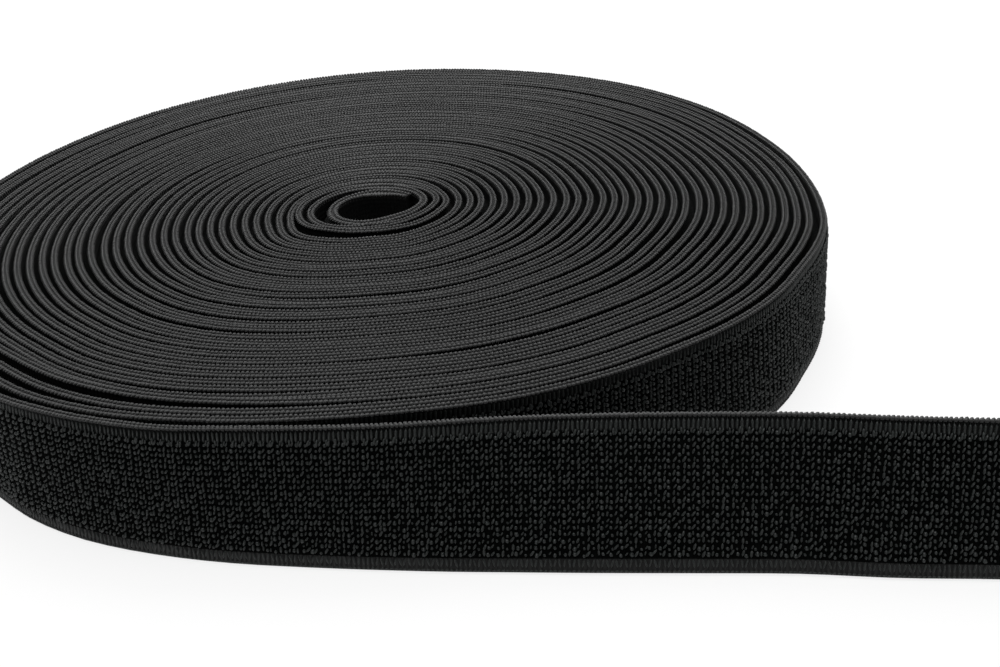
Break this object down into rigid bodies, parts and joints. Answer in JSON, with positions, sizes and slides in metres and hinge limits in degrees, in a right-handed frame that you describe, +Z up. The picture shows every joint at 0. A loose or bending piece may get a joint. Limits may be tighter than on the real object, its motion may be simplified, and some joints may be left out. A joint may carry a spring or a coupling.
{
  "type": "roll of elastic",
  "caption": "Flat roll of black knitted elastic band lying on its side, wound round an open eye, with a standing loose end running off at the front.",
  "frame": {"origin": "middle of the plan's box, on the surface that the roll lies on", "axes": "+Z up along the roll's axis, +X the way the loose end runs off, -Y towards the side where it leaves the roll"},
  "size_m": [0.1644, 0.1624, 0.0188],
  "materials": {
    "elastic": "black knitted plush with smooth corded edges"
  },
  "bodies": {
    "root": {"wound_roll": "elastic", "loose_end": "elastic"}
  },
  "joints": []
}
